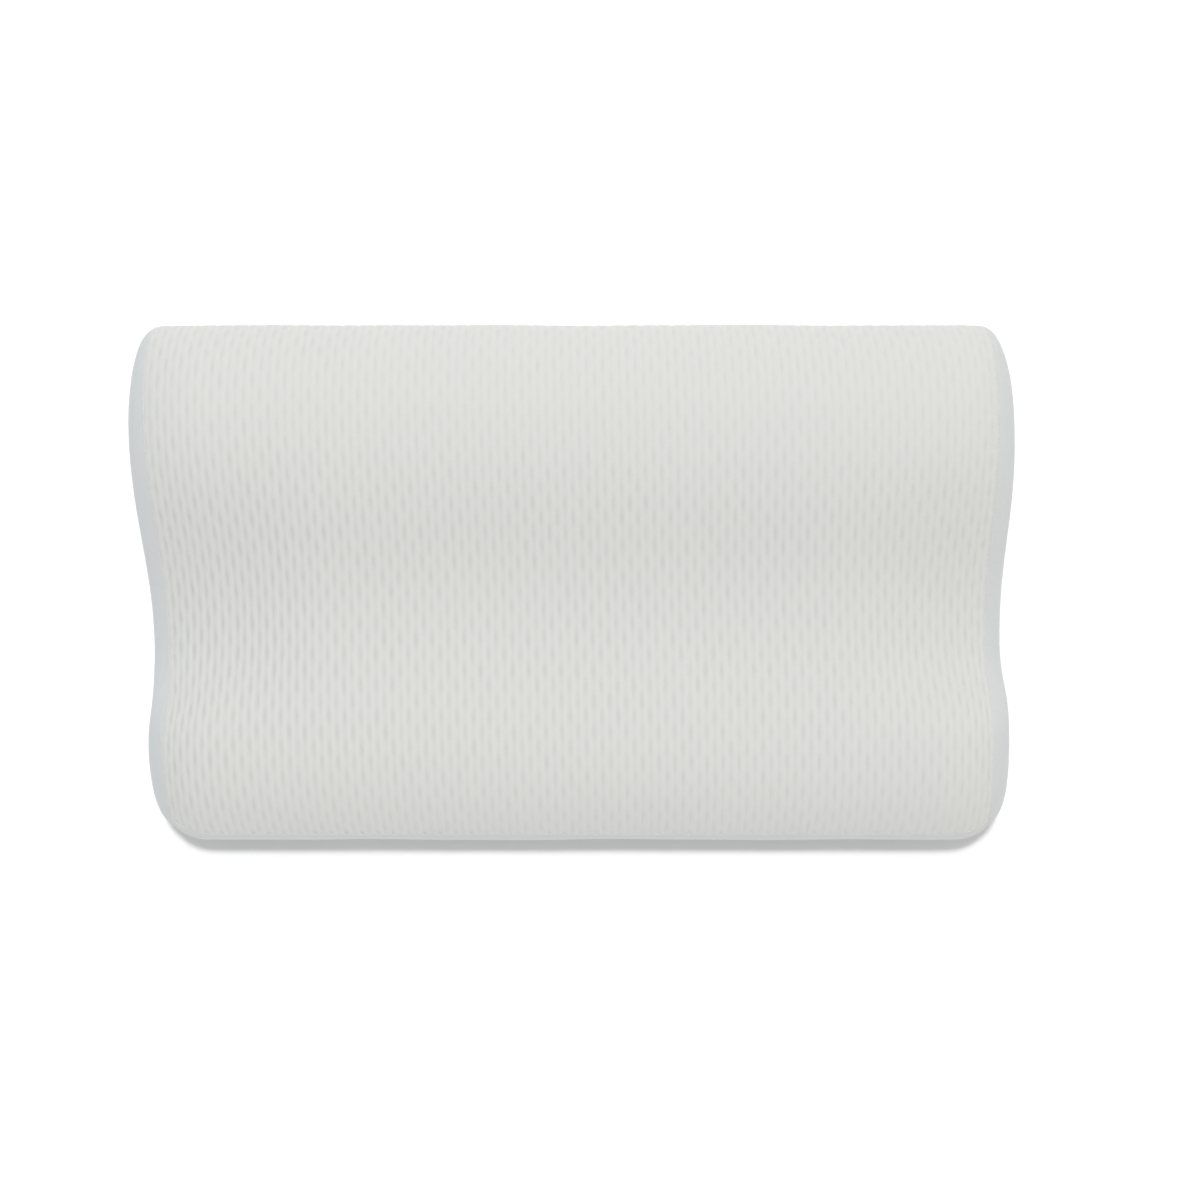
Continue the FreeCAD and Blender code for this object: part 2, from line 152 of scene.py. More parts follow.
def loop(x, inset=0.0, back_room=0.0):
    """The section at x as one closed run of (y, z) points, from the base's front edge up over the
    front, the upper face and the back, with the arc length at each point and at each run's end."""
    distance = HALF_LENGTH - inset - abs(x)
    drop = roll(distance, TOP_ROLL) + inset
    front_in = roll(distance, FRONT_ROLL)
    back_in = roll(distance, BACK_ROLL)
    base = inset + roll(distance, BASE_ROLL)
    front = -HALF_DEPTH + inset + front_in
    back = HALF_DEPTH - inset - back_in - back_room
    back_crest = np.array([BACK_CREST_Y - CREST_FOLLOWS_ROLL * back_in, BACK_CREST_Z - drop])
    dip = np.array([DIP_Y, dip_height(x) - drop])
    front_crest = np.array([FRONT_CREST_Y + CREST_FOLLOWS_ROLL * front_in, FRONT_CREST_Z - drop])
    tall = back_crest[1] - base
    wall_low = np.array([back, base + BACK_WALL_FROM * tall])
    wall_high = np.array([back, base + BACK_WALL_TO * tall])
    nose = np.array([front, base + FRONT_NOSE_AT * (front_crest[1] - base)])
    base_back = np.array([back - BACK_EDGE_RADIUS, base])
    base_front = np.array([front + FRONT_EDGE_RADIUS, base])
    runs = [
        quarter(base_front, nose, False),
        quarter(nose, front_crest, True),
        wave(front_crest, dip),
        wave(dip, back_crest),
        quarter(back_crest, wall_high, False),
        np.linspace(wall_high, wall_low, RUN_POINTS),
        quarter(wall_low, base_back, True),
        np.linspace(base_back, base_front, RUN_POINTS),
    ]
    points = np.concatenate([runs[0]] + [run[1:] for run in runs[1:]])
    arc = run_lengths(points)
    marks = [arc[k * (RUN_POINTS - 1)] for k in range(len(runs) + 1)]
    return points, arc, marks


def run_lengths(path):
    return np.concatenate([[0.0], np.cumsum(np.linalg.norm(np.diff(path, axis=0), axis=1))])


def along(points, arc, places):
    """Points of a closed run at places given by arc length."""
    wrapped = np.mod(places, arc[-1])
    return np.stack([np.interp(wrapped, arc, side) for side in points.T], axis=-1)


def arc_at_height(points, arc, marks, run, z):
    """The arc length at which one run of the section passes a height."""
    inside = (arc >= marks[run] - 1e-9) & (arc <= marks[run + 1] + 1e-9)
    heights, lengths = points[inside, 1], arc[inside]
    order = np.argsort(heights)
    return float(np.interp(z, heights[order], lengths[order]))


def edge_at_zip(x, open_z, closed_z):
    """The height of a panel's edge at x: clear of the coil in the window, at the seam beyond it."""
    past = abs(x) - WINDOW_HALF_LONG + WINDOW_CLOSES_BEFORE
    return open_z + (closed_z - open_z) * smooth(past / WINDOW_CLOSES_OVER)


def top_run(x, points, arc, marks):
    """Where the top panel starts and ends on the section at x."""
    edge = edge_at_zip(x, WINDOW_HIGH, ZIP_Z + SEAM_EDGE_GAP)
    start = arc_at_height(points, arc, marks, FRONT_RUN, FRONT_SEAM_Z + SEAM_EDGE_GAP)
    return start, arc_at_height(points, arc, marks, WALL_RUN, edge)


def base_run(x, points, arc, marks):
    """Where the base panel starts and ends on the section at x."""
    edge = edge_at_zip(x, WINDOW_LOW, ZIP_Z - SEAM_EDGE_GAP)
    end = arc_at_height(points, arc, marks, FRONT_RUN, FRONT_SEAM_Z - SEAM_EDGE_GAP)
    return arc_at_height(points, arc, marks, WALL_RUN, edge), end + arc[-1]


def lean(points):
    """The soft cover leans a little along the pillow; the zip and the wall round it stay put."""
    y, z = points[..., 1], points[..., 2]
    wall = smooth((y - WALL_FROM_Y) / WALL_EASE_Y)
    wall *= 1.0 - smooth((z - WALL_UP_TO_Z) / WALL_EASE_Z)
    hollow = np.exp(-(((y - HOLLOW_Y) / HOLLOW_WIDE) ** 2))
    hollow *= smooth((-points[..., 0] - HOLLOW_FROM_X) / HOLLOW_EASE_X)
    moved = points.copy()
    moved[..., 0] += HOLLOW * hollow - LEAN * y * (1.0 - wall)
    return moved


def fine_stations(edge):
    """Stations from the middle to an end, closer together as the end rolls in."""
    count, crowding = 700, 1.6
    return edge * (1.0 - (1.0 - np.linspace(0.0, 1.0, count)) ** crowding)


def cloth_grid(run, edge, columns, rows):
    """Points of a panel at the knit's columns and rows: equal parts of the cloth, not of the plan.
    The columns are spaced by guides that leave out how the edge closes beyond the zip's window."""
    stations = fine_stations(edge)
    fractions = (rows - rows[0]) / (rows[-1] - rows[0])
    strips, guides = [], []
    for x in stations:
        points, arc, marks = loop(x)
        for kept, place_along in ((strips, x), (guides, 0.0)):
            start, end = run(place_along, points, arc, marks)
            kept.append(along(points, arc, start + (end - start) * fractions))
    strips = np.array(strips)
    steps = np.diff(np.array(guides), axis=0)
    lengths = np.sqrt((steps**2).sum(2) + np.diff(stations)[:, None] ** 2)
    run_length = np.concatenate([np.zeros((1, len(rows))), np.cumsum(lengths, axis=0)])
    half = columns[columns >= 0]
    grid = np.zeros((len(half), len(rows), 3))
    for j in range(len(rows)):
        places = half / half[-1] * run_length[-1, j]
        grid[:, j, 0] = np.interp(places, run_length[:, j], stations)
        for k in (0, 1):
            grid[:, j, k + 1] = np.interp(places, run_length[:, j], strips[:, j, k])
    mirrored = grid[1:][::-1].copy()
    mirrored[..., 0] *= -1.0
    return np.concatenate([mirrored, grid])


def grid_normals(grid):
    du = np.gradient(grid, axis=0)
    dv = np.gradient(grid, axis=1)
    normals = np.cross(du, dv)
    return normals / np.maximum(np.linalg.norm(normals, axis=2, keepdims=True), 1e-12)


def knit_depth(u, v):
    """From 0 on the ridges to 1 in the pits, at column u and repeat v."""
    columns = np.cos(2 * np.pi * u)
    staggered = np.cos(np.pi * u) * np.cos(2 * np.pi * v)
    level = np.clip(0.5 + COLUMN_SHARE * columns + STAGGER_SHARE * staggered, 0.0, 1.0)
    return level**PIT_EDGE


def cell_chance(u, v):
    """A number from 0 to 1 for each pit, the same every time."""
    column = np.round(u)
    row = np.round(v - 0.5 * np.mod(column, 2.0))
    scattered = np.sin(column * 127.1 + row * 311.7 + 1.3) * 43758.5453
    return scattered - np.floor(scattered)


def relief(u, v, points):
    """How deep the knit lies below its ridges: it stretches flat over the high crest and
    relaxes in the dip, and no two pits are quite alike."""
    x, y, z = points[..., 0], points[..., 1], points[..., 2]
    in_dip = np.exp(-(((y + 30 * MM) / (50 * MM)) ** 2))
    on_crest = smooth((y - 30 * MM) / (75 * MM)) * smooth((z - 40 * MM) / (40 * MM))
    on_nose = smooth((-y - 95 * MM) / (40 * MM))
    slack = 1.05 + 0.16 * in_dip - 0.60 * on_crest - 0.28 * on_nose - 0.9 * x
    chance = 0.72 + 0.5 * cell_chance(u, v)
    wander = 0.5 + 0.5 * np.sin(61.0 * x + 47.0 * y + 1.1) * np.sin(39.0 * x - 71.0 * y)
    return -PIT_DEEP * slack * chance * (0.85 + 0.3 * wander) * knit_depth(u, v)


def unevenness(a, b):
    """Slow soft rises and falls of padded cloth, from -1 to 1; a and b are lengths in metres."""
    return (
        0.45 * np.sin(47.0 * a + 21.0 * b + 0.6)
        + 0.30 * np.sin(-33.0 * a + 58.0 * b + 2.1)
        + 0.25 * np.sin(91.0 * a - 37.0 * b + 4.0)
    )


def puckers(run, seed):
    """The small gathers beside a seam, from -1 to 1, at a length along it in metres."""
    turns = 2 * np.pi * (run + 4 * MM * np.sin(2 * np.pi * run / (71 * MM) + seed))
    wide = np.sin(turns / (10.5 * MM) + seed)
    narrow = np.sin(turns / (6.7 * MM) + 2.3 * seed)
    return 0.6 * wide + 0.4 * narrow


def beside_seam(distance):
    """How much the cloth gathers, from 0 to 1, at a distance from a seam."""
    return np.exp(-distance / PUCKER_REACH) * (1.0 - np.exp(-distance / PUCKER_FROM))


def drawn_in(distance):
    """How far a seam draws the cloth in, as a negative height, at a distance from it."""
    return -SEAM_PULL * np.exp(-distance / SEAM_PULL_REACH)


# ---- Mesh helpers ----
def add_mesh(name, points, faces, cloth=None):
    mesh = bpy.data.meshes.new(name)
    mesh.from_pydata([tuple(p) for p in points], [], faces)
    mesh.polygons.foreach_set("use_smooth", [True] * len(mesh.polygons))
    if cloth is not None:
        layer = mesh.uv_layers.new(name="cloth")
        corner = np.zeros(len(mesh.loops), np.int32)
        mesh.loops.foreach_get("vertex_index", corner)
        layer.data.foreach_set("uv", np.asarray(cloth, np.float32)[corner].ravel())
    mesh.update()
    piece = bpy.data.objects.new(name, mesh)
    bpy.context.scene.collection.objects.link(piece)
    return piece


def place(piece, material, slot, body, *nodes):
    piece.data.materials.append(material)
    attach(piece, body)
    if nodes:
        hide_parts(*nodes)
    return piece


def grid_faces(index, flipped=False):
    a, b = index[:-1, :-1], index[1:, :-1]
    c, d = index[1:, 1:], index[:-1, 1:]
    order = (a, d, c, b) if flipped else (a, b, c, d)
    return [tuple(f) for f in np.stack([o.ravel() for o in order], axis=1).tolist()]


def ruled_edge(outer_line, inner_line, coarse, flipped):
    """Faces between a fine outer edge and a coarse inner one."""
    faces = []
    for k in range(len(coarse) - 1):
        fine = [int(n) for n in outer_line[coarse[k] : coarse[k + 1] + 1]]
        face = fine + [int(inner_line[k + 1]), int(inner_line[k])]
        faces.append(tuple(face[::-1]) if flipped else tuple(face))
    return faces


def cloth_shell(name, grid, normals, rise, pull, columns, rows):
    """A closed piece of cloth: a finely knitted outer face and a plain coarse inner one."""
    outer = lean(grid + normals * (rise + pull)[..., None])
    coarse_u = np.where(np.abs(columns - np.round(columns)) < 1e-6)[0]
    coarse_v = np.where(np.abs(rows - np.round(rows)) < 1e-6)[0]
    pick = np.ix_(coarse_u, coarse_v)
    inner = lean(grid[pick] + normals[pick] * (pull[pick] - CLOTH_THICK)[..., None])
    count = outer.shape[0] * outer.shape[1]
    index = np.arange(count).reshape(outer.shape[:2])
    below = count + np.arange(inner.shape[0] * inner.shape[1]).reshape(inner.shape[:2])
    faces = grid_faces(index) + grid_faces(below, flipped=True)
    faces += ruled_edge(index[:, 0], below[:, 0], coarse_u, True)
    faces += ruled_edge(index[:, -1], below[:, -1], coarse_u, False)
    faces += ruled_edge(index[0, :], below[0, :], coarse_v, False)
    faces += ruled_edge(index[-1, :], below[-1, :], coarse_v, True)
    u, v = np.meshgrid(columns, rows, indexing="ij")
    cloth = np.stack([u.ravel(), v.ravel()], axis=1)
    cloth = np.concatenate([cloth, np.stack([u[pick].ravel(), v[pick].ravel()], axis=1)])
    points = np.concatenate([outer.reshape(-1, 3), inner.reshape(-1, 3)])
    return add_mesh(name, points, faces, cloth)


def tube(path, radius, sides=8, closed=False, up=(1.0, 0.0, 0.0)):
    """A tube along a path, as points and faces; the radius may differ from point to point."""
    path = np.asarray(path, float)
    radius = np.broadcast_to(radius, (len(path),))
    if closed:
        forward = np.roll(path, -1, axis=0) - np.roll(path, 1, axis=0)
    else:
        forward = np.gradient(path, axis=0)
    forward /= np.linalg.norm(forward, axis=1, keepdims=True)
    side = np.cross(forward, np.array(up))
    side /= np.maximum(np.linalg.norm(side, axis=1, keepdims=True), 1e-12)
    over = np.cross(side, forward)
    angle = np.linspace(0.0, 2 * np.pi, sides, endpoint=False)
    ring = np.cos(angle)[:, None] * side[:, None, :] + np.sin(angle)[:, None] * over[:, None, :]
    points = path[:, None, :] + ring * radius[:, None, None]
    index = np.arange(len(path) * sides).reshape(len(path), sides)
    wrapped = np.concatenate([index, index[:, :1]], axis=1)
    if closed:
        wrapped = np.concatenate([wrapped, wrapped[:1]], axis=0)
    faces = grid_faces(wrapped)
    if not closed:
        faces.append(tuple(int(n) for n in index[0]))
        faces.append(tuple(int(n) for n in index[-1][::-1]))
    return points.reshape(-1, 3), faces


def sewn(name, parts, body, *nodes):
    """One piece of thread from several (points, faces)."""
    points, faces, start = [], [], 0
    for some, theirs in parts:
        points.append(np.asarray(some))
        faces += [tuple(n + start for n in face) for face in theirs]
        start += len(some)
    piece = add_mesh(name, np.concatenate(points), faces)
    return place(piece, THREAD, "thread", body, *nodes)


# ---- Materials ----
class Nodes:
    """A short way to write a material's nodes."""

    def __init__(self, name):
        self.material = bpy.data.materials.new(name)
        self.material.use_nodes = True
        self.tree = self.material.node_tree
        self.shader = self.tree.nodes["Principled BSDF"]

    def add(self, kind, **settings):
        node = self.tree.nodes.new(kind)
        for key, value in settings.items():
            setattr(node, key, value)
        return node

    def link(self, output, socket):
        self.tree.links.new(output, socket)

    def put(self, value, socket):
        if isinstance(value, (int, float)):
            socket.default_value = value
        else:
            self.link(value, socket)

    def math(self, operation, *values):
        node = self.add("ShaderNodeMath", operation=operation)
        for value, socket in zip(values, node.inputs):
            self.put(value, socket)
        return node.outputs[0]

    def times(self, first, second):
        return self.math("MULTIPLY", first, second)

    def turning(self, kind, value, rate):
        """The sine or cosine of a value times a rate."""
        return self.math(kind, self.times(value, rate))

    def spread(self, value, share=0.5, middle=0.5):
        """A share of a value, added to a middle."""
        return self.math("MULTIPLY_ADD", value, share, middle)

    def noise(self, vector, scale, detail=2.0, roughness=0.5):
        node = self.add("ShaderNodeTexNoise")
        self.link(vector, node.inputs["Vector"])
        node.inputs["Scale"].default_value = scale
        node.inputs["Detail"].default_value = detail
        node.inputs["Roughness"].default_value = roughness
        return node.outputs["Fac"]

    def mix(self, share, first, second):
        node = self.add("ShaderNodeMix", data_type="RGBA")
        self.link(share, node.inputs["Factor"])
        for colour, socket in ((first, node.inputs[6]), (second, node.inputs[7])):
            if isinstance(colour, tuple):
                socket.default_value = (*colour, 1.0)
            else:
                self.link(colour, socket)
        return node.outputs[2]

    def tint(self, shade, mask, share, colour):
        """The shade, with a share of a colour wherever the mask is bright."""
        return self.mix(self.times(mask, share), shade, colour)

    def ramp(self, value, start, stop, first, second):
        """A smooth change from first to second as the value goes from start to stop."""
        node = self.add("ShaderNodeMapRange", interpolation_type="SMOOTHSTEP")
        self.link(value, node.inputs["Value"])
        limits = {"From Min": start, "From Max": stop, "To Min": first, "To Max": second}
        for key, limit in limits.items():
            node.inputs[key].default_value = limit
        return node.outputs["Result"]

    def bump(self, height, strength, distance, normal=None):
        node = self.add("ShaderNodeBump")
        node.inputs["Strength"].default_value = strength
        node.inputs["Distance"].default_value = distance
        self.link(height, node.inputs["Height"])
        if normal is not None:
            self.link(normal, node.inputs["Normal"])
        return node.outputs["Normal"]

    def place_in_object(self):
        return self.add("ShaderNodeTexCoord").outputs["Object"]

    def split(self, vector):
        node = self.add("ShaderNodeSeparateXYZ")
        self.link(vector, node.inputs[0])
        return node.outputs

    def finish(self, colour, normal, **values):
        """Joins colour and normal to the shader; the other values go on its own sockets."""
        self.link(colour, self.shader.inputs["Base Color"])
        if normal is not None:
            self.link(normal, self.shader.inputs["Normal"])
        for key, value in values.items():
            self.shader.inputs[key.replace("_", " ")].default_value = value
        return self.material


def cloth_place(n):
    """Column and repeat of the knit, from the cloth's own coordinates."""
    uv = n.add("ShaderNodeUVMap", uv_map="cloth").outputs["UV"]
    u, v, _ = n.split(uv)
    return uv, u, v


def face_loops(n, u, v):
    """The small loops of the face knit: 5 wales in a column, 18 courses in a repeat."""
    wale = n.math("ABSOLUTE", n.turning("SINE", u, 5 * math.pi))
    slant = n.math("MULTIPLY_ADD", wale, 0.9, n.times(v, 36 * math.pi))
    course = n.spread(n.math("SINE", slant))
    return n.times(n.math("POWER", wale, 0.7), n.spread(course, 0.6, 0.4))


def finish_knit(n, shade, loops, yarn, gap_shade_share, gap_shade_colour, fuzz, **values):
    """Painted shade in the gaps between the loops, and a bump from the loops and the yarn's fuzz."""
    shade = n.tint(shade, n.math("SUBTRACT", 1.0, loops), gap_shade_share, gap_shade_colour)
    normal = n.bump(loops, 0.35, 0.25 * MM)
    normal = n.bump(yarn, fuzz, 0.2 * MM, normal)
    return n.finish(shade, normal, Sheen_Roughness=0.45, Specular_IOR_Level=0.25, **values)


def pit_shade_strength(n, where):
    """How strong the painted shade in the pits is: less on the stretched crest and nose, more
    towards the left.
    """
    x, y, _ = n.split(where)
    strength = n.times(n.ramp(y, 0.035, 0.108, 1.0, 0.62), n.ramp(y, -0.145, -0.09, 0.62, 1.0))
    strength = n.times(strength, n.ramp(x, -0.24, -0.06, 1.28, 1.0))
    return n.times(strength, n.ramp(x, 0.12, 0.24, 1.0, 0.88))


def knit_material():
    """Off-white air-layer knit: columns of spindle-shaped pits with painted shade in them, fine
    loops and uneven yarn.
    """
    n = Nodes("knit_cover")
    uv, u, v = cloth_place(n)
    where = n.place_in_object()
    columns = n.turning("COSINE", u, 2 * math.pi)
    stagger = n.times(n.turning("COSINE", u, math.pi), n.turning("COSINE", v, 2 * math.pi))
    level = n.spread(columns, COLUMN_SHARE)
    level = n.math("MULTIPLY_ADD", stagger, STAGGER_SHARE, level)
    # painted shade in the pits, from the same columns and stagger as their relief
    pit = n.math("POWER", n.math("MAXIMUM", level, 0.0), PIT_SHADE_EDGE)
    pit = n.times(pit, pit_shade_strength(n, where))
    uneven = n.spread(n.noise(uv, 1.1, 1.0), 1.1, 0.35)
    loops = face_loops(n, u, v)
    yarn = n.noise(where, 1500.0)
    # the pits' painted shade, varied from place to place and pit to pit, mixes the off-white towards
    # a grey
    shade = n.mix(n.times(pit, uneven), (0.80, 0.80, 0.78), (0.70, 0.702, 0.688))
    shade = n.tint(shade, yarn, 0.22, (0.66, 0.66, 0.645))
    shade = n.tint(shade, n.noise(where, 22.0, 3.0), 0.14, (0.77, 0.765, 0.73))
    # the share and grey after the yarn give the painted shade between the loops
    return finish_knit(n, shade, loops, yarn, 0.10, (0.60, 0.60, 0.59), 0.18,
                       Roughness=0.92, Sheen_Weight=0.25)


def plain_knit_material():
    """The plain jersey of the sides and base: the same loops without pits, a cooler white."""
    n = Nodes("knit_plain")
    _, u, v = cloth_place(n)
    loops = face_loops(n, u, v)
    where = n.place_in_object()
    yarn = n.noise(where, 1400.0)
    shade = n.mix(n.times(yarn, 0.2), (0.742, 0.750, 0.755), (0.64, 0.65, 0.66))
    shade = n.tint(shade, n.noise(where, 26.0, 3.0), 0.16, (0.70, 0.705, 0.71))
    # the share and grey after the yarn give the painted shade between the loops
    return finish_knit(n, shade, loops, yarn, 0.12, (0.60, 0.61, 0.62), 0.15,
                       Roughness=0.9, Sheen_Weight=0.2)


def plain_cloth_material(name, colour, dark, ribs, strength, **values):
    """Fine ribbed or woven cloth, by its place on the object; ribs are counts per metre."""
    n = Nodes(name)
    where = n.place_in_object()
    x, y, z = n.split(where)
    across = n.turning("SINE", x, ribs[0] * 2 * math.pi)
    updown = n.turning("SINE", n.math("ADD", y, z), ribs[1] * 2 * math.pi)
    weave = n.spread(n.times(across, updown))
    shade = n.tint(n.tint(colour, weave, 0.35, dark), n.noise(where, 900.0), 0.2, dark)
    return n.finish(shade, n.bump(weave, strength, 0.2 * MM), **values)


def foam_material():
    """Cream slow-recovery foam with fine open cells under a moulded skin."""
    n = Nodes("foam")
    where = n.place_in_object()
    cells = n.add("ShaderNodeTexVoronoi")
    n.link(where, cells.inputs["Vector"])
    cells.inputs["Scale"].default_value = 700.0
    pores = cells.outputs["Distance"]
    shade = n.mix(n.noise(where, 14.0, 3.0), (0.86, 0.79, 0.60), (0.80, 0.72, 0.52))
    shade = n.mix(n.times(pores, 0.4), (0.70, 0.62, 0.44), shade)
    normal = n.bump(pores, 0.4, 0.4 * MM)
    return n.finish(shade, normal, Roughness=0.85, Subsurface_Weight=0.1)


def thread_material():
    """Spun polyester thread: two plies that twist along the piece."""
    n = Nodes("thread")
    where = n.place_in_object()
    x, y, z = n.split(where)
    diagonal = n.math("ADD", x, n.math("ADD", y, z))
    ply = n.spread(n.turning("SINE", diagonal, 9000.0))
    shade = n.mix(ply, (0.70, 0.70, 0.69), (0.84, 0.84, 0.83))
    shade = n.tint(shade, n.noise(where, 2600.0), 0.25, (0.62, 0.62, 0.61))
    normal = n.bump(ply, 0.5, 0.15 * MM)
    return n.finish(shade, normal, Roughness=0.7, Sheen_Weight=0.15)


def coil_material():
    """Milky nylon, a little cloudy."""
    n = Nodes("zip_coil")
    where = n.place_in_object()
    shade = n.mix(n.noise(where, 120.0), (0.84, 0.84, 0.82), (0.78, 0.78, 0.765))
    normal = n.bump(n.noise(where, 2500.0), 0.05, 0.1 * MM)
    return n.finish(shade, normal, Roughness=0.32, Subsurface_Weight=0.15, Coat_Weight=0.2)


def metal_material():
    """Plated die-cast zinc with fine tumbling marks."""
    n = Nodes("zip_metal")
    where = n.place_in_object()
    marks = n.noise(where, 1400.0, 4.0, 0.7)
    shade = n.mix(n.noise(where, 260.0), (0.66, 0.65, 0.63), (0.76, 0.755, 0.74))
    rough = n.add("ShaderNodeMapRange")
    n.link(marks, rough.inputs["Value"])
    rough.inputs["To Min"].default_value = 0.22
    rough.inputs["To Max"].default_value = 0.42
    n.link(rough.outputs["Result"], n.shader.inputs["Roughness"])
    return n.finish(shade, n.bump(marks, 0.08, 0.1 * MM), Metallic=1.0)


def label_material():
    """Blank woven satin: long glossy floats with a fine cross rib."""
    n = Nodes("label_satin")
    where = n.place_in_object()
    x, _, z = n.split(where)
    weave = n.spread(n.times(n.turning("SINE", x, 14000.0), n.turning("SINE", z, 9000.0)))
    shade = n.mix(n.times(weave, 0.3), (0.90, 0.90, 0.89), (0.74, 0.74, 0.73))
    shade = n.tint(shade, n.noise(where, 160.0), 0.2, (0.82, 0.82, 0.80))
    return n.finish(shade, n.bump(weave, 0.25, 0.12 * MM), Roughness=0.42, Sheen_Weight=0.1)


KNIT = knit_material()
PLAIN = plain_knit_material()
LINER = plain_cloth_material(
    "liner_cloth", (0.86, 0.86, 0.85), (0.70, 0.70, 0.69), (1100, 1500), 0.3,
    Roughness=0.85, Sheen_Weight=0.2,
)
TAPE = plain_cloth_material(
    "zip_tape", (0.84, 0.84, 0.83), (0.66, 0.66, 0.65), (1250, 900), 0.45,
    Roughness=0.75, Sheen_Weight=0.1,
)
FOAM = foam_material()
THREAD = thread_material()
COIL = coil_material()
METAL = metal_material()
SATIN = label_material()


# ---- The cover's two long panels ----
def edge_steps(last, step, extra):
    """Places from 0 to a whole number in equal steps, with extra ones in the first and last step."""
    plain = np.arange(0, int(round(last / step)) + 1) * step
    more = np.array(extra) * step
    return np.unique(np.round(np.concatenate([plain, more, last - more]), 6))


HALF_COLUMNS = 53


def long_panel(name, run):
    """The top or the base panel: cut in whole columns and repeats, drawn in beside its seams."""
    section = loop(0.0)
    start, end = run(0.0, *section)
    repeats = round((end - start) / REPEAT)
    columns = edge_steps(2 * HALF_COLUMNS, 0.25, (0.3, 0.6)) - HALF_COLUMNS
    rows = edge_steps(repeats, 0.125, (0.12, 0.3, 0.6))
    grid = cloth_grid(run, SEAM_X - SEAM_EDGE_GAP, columns, rows)
    normals = grid_normals(grid)
    u, v = np.meshgrid(columns, rows, indexing="ij")
    from_end = (HALF_COLUMNS - np.abs(u)) * COLUMN
    from_start, from_stop = v * REPEAT, (repeats - v) * REPEAT
    is_top = name == "cover_top_panel"
    rise = relief(u, v, grid) * (1.0 - np.exp(-from_end / PIT_FADE)) if is_top else 0.0 * u
    gathers = puckers(v * REPEAT, np.where(u < 0, 1.0, 2.0))
    rise += 1.6 * PUCKER * beside_seam(from_end) * gathers
    from_seam = smooth(np.minimum(from_end, np.minimum(from_start, from_stop)) / SWELL_FADE)
    swell = SWELL * from_seam * unevenness(grid[..., 0], grid[..., 1])
    rise += np.where(grid[..., 2] < FLAT_BELOW, 0.0, swell)
    front_edge, zip_edge = (from_start, from_stop) if is_top else (from_stop, from_start)
    window = np.abs(grid[..., 0]) < WINDOW_HALF_LONG
    fold = np.where(window, FOLD_IN, SEAM_PULL)
    folded = -fold * np.exp(-zip_edge / np.where(window, FOLD_REACH, SEAM_PULL_REACH))
    pull = np.maximum(drawn_in(from_end) + drawn_in(front_edge) + folded, -fold)
    piece = cloth_shell(name + "_knit", grid, normals, rise, pull, columns, rows)
    if is_top:
        place(piece, KNIT, "knit_cover", "pillow", name)
    else:
        place(piece, PLAIN, "knit_plain", "pillow", name)
    return piece


# ---- The end panels ----
FINE_STEPS = (216, 40)
COARSE_STEPS = (84, 20)


def four_sides(x, steps, inset, back_room):
    """The section at x as four lines that meet at its rounded edges, in steps along the base and
    up the sides."""
    points, arc, marks = loop(x, inset, back_room)
    corner = [(marks[k] + marks[k + 1]) / 2 for k in (0, 1, 4, 6)]
    front_low, front_high, back_high, back_low = corner
    long_share, short_share = (np.linspace(0.0, 1.0, count + 1) for count in steps)
    total = arc[-1]
    bottom = along(points, arc, front_low + total + (back_low - front_low - total) * long_share)
    back = along(points, arc, back_low + (back_high - back_low) * short_share)
    top = along(points, arc, front_high + (back_high - front_high) * long_share)
    front = along(points, arc, front_low + (front_high - front_low) * short_share)
    return bottom, back, top, front


def ring_of(x, steps, inset, back_room):
    bottom, back, top, front = four_sides(x, steps, inset, back_room)
    ring = np.concatenate([bottom[:-1], back[:-1], top[::-1][:-1], front[::-1][:-1]])
    return np.insert(ring, 0, x, axis=1)


def end_fill(x, steps, inset, back_room):
    """A grid that fills the flat end inside the last ring, and the ring's indices on its border."""
    bottom, back, top, front = four_sides(x, steps, inset, back_room)
    j, k = steps
    s = np.linspace(0, 1, j + 1)[:, None, None]
    t = np.linspace(0, 1, k + 1)[None, :, None]
    blend = (1 - t) * bottom[:, None] + t * top[:, None] + (1 - s) * front[None] + s * back[None]
    blend -= (1 - s) * (1 - t) * bottom[0] + s * (1 - t) * bottom[-1]
    blend -= (1 - s) * t * top[0] + s * t * top[-1]
    border = np.full((j + 1, k + 1), -1)
    border[:, 0] = np.arange(j + 1)
    border[j, :] = j + np.arange(k + 1)
    border[:, k] = j + k + np.arange(j + 1)[::-1]
    border[0, :] = (2 * j + k + np.arange(k + 1)[::-1]) % (2 * j + 2 * k)
    return blend, border


